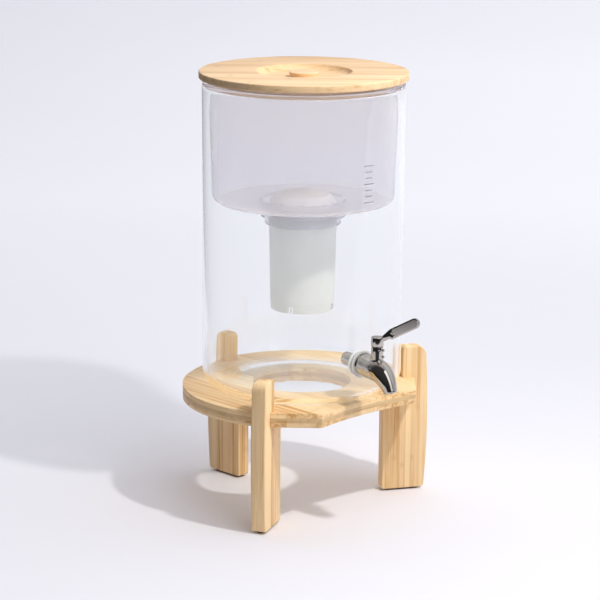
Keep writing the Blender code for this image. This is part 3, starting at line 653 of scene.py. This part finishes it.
def make_spigot():
    """A cast body blended into its stem tower, with a sharp collar, flange, shank and two stops added."""
    body = swept("spigot_casting", BODY_STATIONS, SPIGOT, around=72, pieces=12)
    tower = bar((STEM_AT, 0, SPIGOT_Z), (STEM_AT, 0, STEM_TOP - 2.5), STEM_R + 0.2, SPIGOT, 96)
    combine(body, [tower], "UNION")
    remesh = body.modifiers.new("remesh", "REMESH")
    remesh.mode = "VOXEL"
    remesh.voxel_size = 0.55 * MM
    smooth = body.modifiers.new("smooth", "SMOOTH")
    smooth.factor = 0.5
    smooth.iterations = 10
    applied(body, 50)
    outline = filleted([(0, COLLAR_LOW), (STEM_R, COLLAR_LOW), (STEM_R, STEM_TOP, 0.45), (0, STEM_TOP)])
    collar = lathe("collar", outline, STEM, steps=96)
    outline = [(0, FLANGE_IN), (FLANGE_R, FLANGE_IN, 0.4), (FLANGE_R, FLANGE_OUT, 0.4), (0, FLANGE_OUT)]
    flange = lathe("flange", filleted(outline), SPIGOT_BORE, steps=96, axis="X")
    shank = bar((SHANK_IN, 0, SPIGOT_Z), (112, 0, SPIGOT_Z), SHANK_R, SPIGOT, 72)
    stops = []
    toward = Vector((math.cos(math.radians(STOP_TURN)), math.sin(math.radians(STOP_TURN)), 0))
    for height in STOP_HEIGHTS:
        centre = Vector((STEM_AT, 0, height))
        stops.append(bar(centre, centre + toward * (STEM_R + STOP_REACH), STOP_R, SPIGOT, 24))
    combine(body, [collar, flange, shank, *stops], "UNION")
    waterway = swept("waterway", WATERWAY_STATIONS, SPIGOT, around=36, pieces=4)
    seat = bar((STEM_AT, 0, SPIGOT_Z - 4.5), (STEM_AT, 0, STEM_TOP + 5), PLUG_SEAT_R, SPIGOT, 48)
    combine(body, [waterway, seat])
    smoothed(body.data, 40)
    dress(body, STEEL, "jar", "steel", "spigot_body")


def make_washer(name, inner_at, outer_at, radius, inside, node):
    """A ring whose glass side follows the jar's round wall."""
    outline = [(SHANK_HOLE_R, inner_at), (SHANK_HOLE_R, outer_at)]
    outline += [(radius, outer_at, 0.9), (radius, inner_at, 0.9)]
    ring = lathe(name, filleted(outline), SPIGOT_BORE, steps=96, axis="X")
    wall_r = JAR_R - JAR_WALL - GAP if inside else JAR_R + GAP
    wall = bar((0, 0, SPIGOT_Z - 30), (0, 0, SPIGOT_Z + 30), wall_r, STAND, 240)
    combine(ring, [wall], "INTERSECT" if inside else "DIFFERENCE")
    dress(ring, SILICONE, "jar", "silicone", node)


def make_nut():
    """Smooth sleeve nut on the shank's inner end, with a grip groove and an open end for the water."""
    outline = [(4.4, 77.3), (7.3, 77.3, 0.7), (7.3, 92.6, 0.2), (7.0, 92.9), (7.0, 93.5), (7.3, 93.8, 0.2)]
    outline += [(7.3, 97.6, 0.5), (5.95, 97.6), (5.95, 79.1), (4.4, 79.1)]
    nut = lathe("sleeve_nut", filleted(outline), SPIGOT_BORE, steps=96, axis="X")
    dress(nut, STEEL, "jar", "steel", "spigot_nut")


def make_lever():
    """A round head on the stem with a flat paddle rising from it, and a sunk panel on each of its sides."""
    reach, thickness, slope, lower_slope, tip_r = 47.6, 3.2, 29.0, 27.4, 5.4
    head_low, head_top, head_r = 194.5, 203.6, 6.5
    outline = [(0, 199.8), (8.6, 200.4)] + arc(16.0, 208.8, 5.4, -108, -90 + lower_slope, 6)
    outline += arc(reach - tip_r, 223.1, tip_r, -90 + lower_slope, 90 + slope, 18)
    outline += arc(19.4, 207.4, 8.0, 90 + slope, 90 + slope + 13, 5)
    outline += [(6.4, 206.0), (4.6, 203.2), (0, 203.2)]
    paddle = extruded("lever_handle", outline, -thickness / 2, thickness / 2, LEVER, upright=True)
    bevelled(paddle, 0.7, 4, 50)
    start, end = Vector((20.4, 211.2)), Vector((reach - 5.6, 223.0))
    tilt = math.degrees(math.atan2(end.y - start.y, end.x - start.x))
    panel = arc(end.x, end.y, 3.9, tilt - 90, tilt + 90, 14)
    panel += arc(start.x, start.y, 3.6, tilt + 90, tilt + 270, 14)
    cutters = []
    for side in (-1, 1):
        near, far = sorted((side * (thickness / 2 - 0.5), side * (thickness / 2 + 1)))
        cutters.append(extruded("cutter", panel, near, far, LEVER, upright=True))
    combine(paddle, cutters)
    socket_r, socket_top = 2.3, head_low + 4.3
    head = [(socket_r, head_low), (head_r, head_low, 0.5), (head_r, head_top, 0.7), (0, head_top)]
    head += [(0, socket_top), (socket_r, socket_top)]
    combine(paddle, [lathe("head", filleted(head), LEVER, steps=96)], "UNION")
    smoothed(paddle.data, 34)
    dress(paddle, STEEL, "lever", "steel", "lever")
    repaint("valve_plug", STEEL)


# ---------------------------------------------------------------- reservoir, filter and lid


def make_reservoir():
    """A tapered tub that hangs by its rim, with a stepped socket for the filter under its floor."""
    top_r, low_r, wall, floor, rim_r, top = 98.2, 94.6, 2.4, 322.5, 104.6, 449.9
    socket_r, socket_low, step_r, step_low, bore_r = 44.5, 307.2, 39.8, 299.3, 35.9
    flange_low = JAR_TOP + GAP
    corners = [(top_r + 1.6, top, 0.8), (top_r + 1.6, flange_low + 3.2, 0.5), (rim_r, flange_low + 3.2, 1.2)]
    corners += [(rim_r, flange_low, 0.9), (top_r, flange_low, 0.6), (low_r, floor, 10.0)]
    corners += [(socket_r, floor, 1.2), (socket_r, socket_low, 1.3), (step_r, socket_low, 1.0)]
    corners += [(step_r, step_low, 1.3), (bore_r, step_low, 0.5), (bore_r, socket_low + wall, 0.4)]
    corners += [(socket_r - wall, socket_low + wall, 0.8), (socket_r - wall, floor + wall, 1.4)]
    corners += [(low_r - wall, floor + wall, 7.6), (top_r - wall, top, 0.8)]
    tub = lathe("reservoir_tub", filleted(corners, 8), steps=240, angle=40)
    dress(tub, FROSTED, "reservoir", "tinted_plastic", "reservoir")


def make_filter():
    make_housing()
    make_cap()
    low, high, inner_r, outer_r = 309.9, 311.3, 36.3, 41.0
    corners = [(inner_r, low, 0.3), (outer_r, low, 0.5), (outer_r, high, 0.5), (inner_r, high, 0.3)]
    gasket = lathe("socket_gasket", filleted(corners), steps=128)
    dress(gasket, SILICONE, "filter", "silicone", "filter_gasket")
    repaint("filter_grille", WHITE)
    repaint("filter_pad_low", FELT)
    repaint("filter_pad_top", FELT)
    repaint("carbon_bed", CARBON)


def make_housing():
    """A slightly tapered cup with a flange, and four pairs of slits in its bottom rim."""
    low, low_r, top_r, wall, flange, flange_r = 208.7, 33.2, 35.3, 1.8, 311.6, 41.2
    slit_turn, slit_half, slit_apart, slit_high = -65.5, 1.1, 1.6, 6.0
    corners = [(low_r, low, 0.5), (low_r + 0.2, low + 8.6), (low_r + 0.45, low + 8.9), (top_r - 0.1, 297.2)]
    corners += [(top_r, 299.3), (top_r, flange, 0.6), (flange_r, flange, 0.5), (flange_r, flange + 2.4, 0.6)]
    corners += [(top_r - wall, flange + 2.4), (top_r - wall, 299.3), (low_r - wall, low, 0.5)]
    housing = lathe("filter_body", filleted(corners), steps=160, angle=30)
    cutters = []
    for i in range(4):
        where = place(slit_turn + 90 * i)
        for middle in (-slit_apart, slit_apart):
            slit = [(middle - slit_half, low - 5), (middle + slit_half, low - 5)]
            slit += arc(middle, low + slit_high, slit_half, 0, 180, 8)
            cutters.append(extruded("cutter", slit, -low_r - 5, -low_r + 6, where, upright=True))
    combine(housing, cutters)
    smoothed(housing.data, 34)
    dress(housing, WHITE, "filter", "white_plastic", "filter_housing")


def make_cap():
    """A domed cap with a ring of short slots in its side."""
    low, radius, height, slots, slot_turn = 314.4, 36.0, 19.6, 18, 96
    slot_half, slot_low, slot_high, slot_in = 1.1, 2.2, 9.5, 24
    high = low + height
    corners = [(radius, low, 0.4), (radius - 1.5, low + 9, 4.0), (radius - 8, high - 4, 5.0)]
    corners += [(radius - 18, high - 1, 9.0), (0, high), (0, high - 2), (radius - 19, high - 3, 9.0)]
    corners += [(radius - 9.5, high - 5.7, 4.0), (radius - 3.5, low + 8.5, 3.0), (radius - 2.0, low, 0.4)]
    cap = lathe("filter_cap_slotted", filleted(corners, 6), steps=144, angle=40)
    outline = [(-slot_half, low + slot_low), (slot_half, low + slot_low)]
    outline += [(slot_half, low + slot_high), (-slot_half, low + slot_high)]
    cutters = []
    for i in range(slots):
        where = place(slot_turn + 360 / slots * i)
        cutters.append(extruded("cutter", outline, -radius - 5, -slot_in, where, upright=True))
    combine(cap, cutters)
    smoothed(cap.data, 40)
    # The cap carries painted light: its plastic is painted lighter than the housing's.
    dress(cap, CAP_WHITE_PAINTED_LIGHT, "filter", "white_plastic", "filter_cap")


def make_lid():
    """A turned disc with a coved dish round a knob, and a plug below it with a ring in its groove."""
    top, thick, radius, plug_r, plug_low = 457.8, 7.6, 108.2, 92.0, 441.0
    dish_r, dish_depth, knob_r, cove = 49.6, 6.6, 15.8, 7.6
    low, dish_low = top - thick, top - dish_depth
    groove_r, groove_low, groove_high = plug_r - 2.2, 443.4, 446.8
    corners = [(0, top - 0.8), (knob_r, top - 0.8, 1.2)]
    corners += [(knob_r - 1.3, dish_low + 1.6, 1.5), (knob_r - 0.6, dish_low, 0.9)]
    corners += arc(dish_r - cove, dish_low + cove, cove, -90, -12, 12)
    corners += [(dish_r + 0.5, top, 0.8), (radius, top, 1.3)]
    corners += [(radius, low, 1.3), (plug_r, low, 0.3), (plug_r, groove_high, 0.2), (groove_r, groove_high)]
    corners += [(groove_r, groove_low), (plug_r, groove_low, 0.2), (plug_r, plug_low, 1.0), (0, plug_low)]
    lid = lathe("lid_board", filleted(corners, 6), steps=240, angle=32)
    dress(lid, LID_WOOD, "lid", "bamboo", "lid")
    corners = [(groove_r + GAP, groove_low + GAP), (plug_r + 2.6, groove_low + 0.8, 0.9)]
    corners += [(plug_r + 2.6, groove_high - 0.8, 0.9), (groove_r + GAP, groove_high - GAP)]
    seal = lathe("lid_ring", filleted(corners), steps=192)
    dress(seal, SILICONE, "lid", "silicone", "lid_seal")


# ---------------------------------------------------------------- studio

PAPER = (0.80, 0.80, 0.84)
# Level directions fixed in the studio: toward its far side, and toward its right side.
AWAY, RIGHT = (0.69, 0.72, 0.0), (0.72, -0.69, 0.0)


def make_floor():
    """A pale floor that curls up far away."""
    flat_r, curl_r, steps = 3.2, 2.2, 96
    profile = [(radius, 0.0) for radius in (0.0, 0.5, 1.0, 2.0, flat_r)]
    for degrees in range(5, 50, 5):
        turn = math.radians(degrees)
        profile.append((flat_r + curl_r * math.sin(turn), curl_r - curl_r * math.cos(turn)))
    bm = bmesh.new()
    rings = []
    for radius, height in profile:
        count = steps if radius else 1
        turns = [math.tau * k / count for k in range(count)]
        rings.append([bm.verts.new((radius * math.cos(t), radius * math.sin(t), height)) for t in turns])
    for one, two in zip(rings, rings[1:]):
        for k in range(steps):
            loop = [one[k % len(one)], two[k], two[(k + 1) % steps], one[(k + 1) % len(one)]]
            bm.faces.new(list(dict.fromkeys(loop)))
    mesh = bpy.data.meshes.new("studio_floor")
    bm.to_mesh(mesh)
    bm.free()
    mesh.shade_smooth()
    mesh.materials.append(studio_paper())
    floor = bpy.data.objects.new("studio_floor", mesh)
    bpy.context.scene.collection.objects.link(floor)


def studio_paper():
    """Pale paper with painted light: an emission glow, as from a backdrop lamp, brightens it far behind the
    object, most on the right. In front and to the left it gives way to a dark room, but only in reflections
    and in bounced light. The camera sees paper all the way."""
    n = Surface("studio_paper")
    paper = n.noise(n.point(), 3.0, 2.0)
    n.set(base_color=n.mix(n.span(paper, 0.3, 0.7, 0.0, 1.0), PAPER, (0.81, 0.81, 0.85)))
    n.set(roughness=0.9, specular_ior_level=0.2)
    path = n.add("LightPath").outputs
    away, right = n.dot(n.point(), AWAY), n.dot(n.point(), RIGHT)
    # Painted light: the paper's own emission, brighter far away and to the right, stands in for a backdrop
    # lamp; bounced light leaves it out.
    glow = n.math("MULTIPLY", n.span(away, -0.1, 1.6, 0.0, 1.0), n.span(right, -1.0, 1.0, 0.13, 0.31))
    glow = n.math("MULTIPLY", glow, n.math("SUBTRACT", 1.0, path["Is Diffuse Ray"]))
    n.set(emission_color=(0.97, 0.97, 1.0, 1.0), emission_strength=glow)
    dark = n.add("BsdfDiffuse", {0: (0.03, 0.03, 0.032, 1.0)})
    past_edge = n.math("MAXIMUM", n.span(away, -0.72, -0.60, 1.0, 0.0), n.span(right, -0.70, -0.58, 1.0, 0.0))
    bounced = n.math("MAXIMUM", path["Is Glossy Ray"], path["Is Diffuse Ray"])
    bounced = n.math("MULTIPLY", bounced, n.math("LESS_THAN", path["Transmission Depth"], 0.5))
    share = n.math("MULTIPLY", past_edge, bounced)
    n.put(n.out.inputs["Surface"], n.add("MixShader", {0: share, 1: n.shader.outputs[0], 2: dark.outputs[0]}))
    return n.material


def make_key():
    """A small warm lamp high in front, like low sun, which polished steel doesn't show."""
    key = bpy.data.lights.new("key", "AREA")
    key.shape = "DISK"
    key.size = 0.06
    key.energy = 5.9
    key.color = (1.0, 0.975, 0.945)
    lamp = bpy.data.objects.new("key", key)
    bpy.context.scene.collection.objects.link(lamp)
    lamp.location = AXIS + Vector((0.011, -0.629, 1.007))
    toward = lamp.location - Vector((AXIS.x, AXIS.y, 0.15))
    lamp.rotation_euler = toward.to_track_quat("Z", "Y").to_euler()
    lamp.visible_glossy = False


def make_room():
    """A soft studio sky with a dark side to the room and a tall window in it."""
    levels = [(0.0, 0.68), (0.30, 0.73), (0.60, 0.98), (1.0, 1.08)]
    # Where the dark side is, for reflections and for bounced light. A longer vector makes it wider.
    dark_in_reflections, dark_in_bounces = (-1.30, -0.55, 0.45), (-1.04, -0.05, 0.16)
    darkest, reflections_dimmed, window_brightness, strength = 0.07, 0.72, 1.5, 1.07
    beside_window = (math.cos(math.radians(-14)), math.sin(math.radians(-14)), 0.0)
    world = bpy.data.worlds.new("studio")
    bpy.context.scene.world = world
    world.use_nodes = True
    n = Nodes(world.node_tree)
    direction = n.add("TexCoord").outputs["Generated"]
    axes = n.add("SeparateXYZ", {0: direction}).outputs
    path = n.add("LightPath").outputs
    sky = n.ramp(axes[2], [(height, (level, level, level * 1.05)) for height, level in levels])
    dark_side = n.pick(path["Is Diffuse Ray"], dark_in_reflections, dark_in_bounces)
    dark = n.span(n.dot(direction, dark_side), 0.15, 0.80, 1.0, darkest, interpolation_type="SMOOTHSTEP")
    dark = n.math("MULTIPLY", dark, n.span(path["Is Diffuse Ray"], 0.0, 1.0, reflections_dimmed, 1.0))
    # The window shows in polished steel as a long bright stripe.
    pane = n.span(n.math("ABSOLUTE", n.dot(direction, beside_window)), 0.18, 0.23, 1.0, 0.0)
    pane = n.math("MULTIPLY", pane, n.math("LESS_THAN", axes[1], -0.3))
    lit = n.math("MAXIMUM", dark, n.math("MULTIPLY", pane, window_brightness))
    shade = n.mix(1.0, sky, lit, "MULTIPLY")
    # What is seen directly or through glass is plain pale backdrop.
    passed = n.math("GREATER_THAN", path["Transmission Depth"], 0.5)
    passed = n.math("SUBTRACT", passed, path["Is Glossy Ray"], use_clamp=True)
    plain = n.math("MAXIMUM", path["Is Camera Ray"], passed)
    background = n.tree.nodes["Background"].inputs
    n.put(background["Color"], n.mix(plain, shade, PAPER))
    n.put(background["Strength"], strength)


def make_camera():
    camera = bpy.data.cameras.new("camera")
    camera.sensor_width = 36.0
    camera.lens = 143.92
    camera.shift_y = 0.10616
    obj = bpy.data.objects.new("camera", camera)
    bpy.context.scene.collection.objects.link(obj)
    obj.location = AXIS + Vector((-1.70415, -1.76199, 0.80765))
    obj.rotation_euler = [math.radians(a) for a in (74.906, -0.427, -43.885)]
    bpy.context.scene.camera = obj


make_platform()
for leg_name, leg_turn in LEG_TURNS.items():
    make_leg(leg_name, leg_turn)
make_jar()
make_level_marks()
make_spigot()
make_washer("washer_outside", 103.5, 107.0, 14.5, False, "washer_outer")
make_washer("washer_inside", 97.9, 102.0, 13.8, True, "washer_inner")
make_nut()
make_lever()
make_reservoir()
make_filter()
make_lid()
make_floor()
make_key()
make_room()
make_camera()

view = bpy.context.scene.view_settings
view.view_transform = "Standard"
view.look = "None"

# Light passes many glass walls here.
paths = bpy.context.scene.cycles
paths.max_bounces = 24
paths.transmission_bounces = 20
paths.transparent_max_bounces = 24
paths.diffuse_bounces = 5
paths.sample_clamp_indirect = 6.0

bpy.context.view_layer.update()
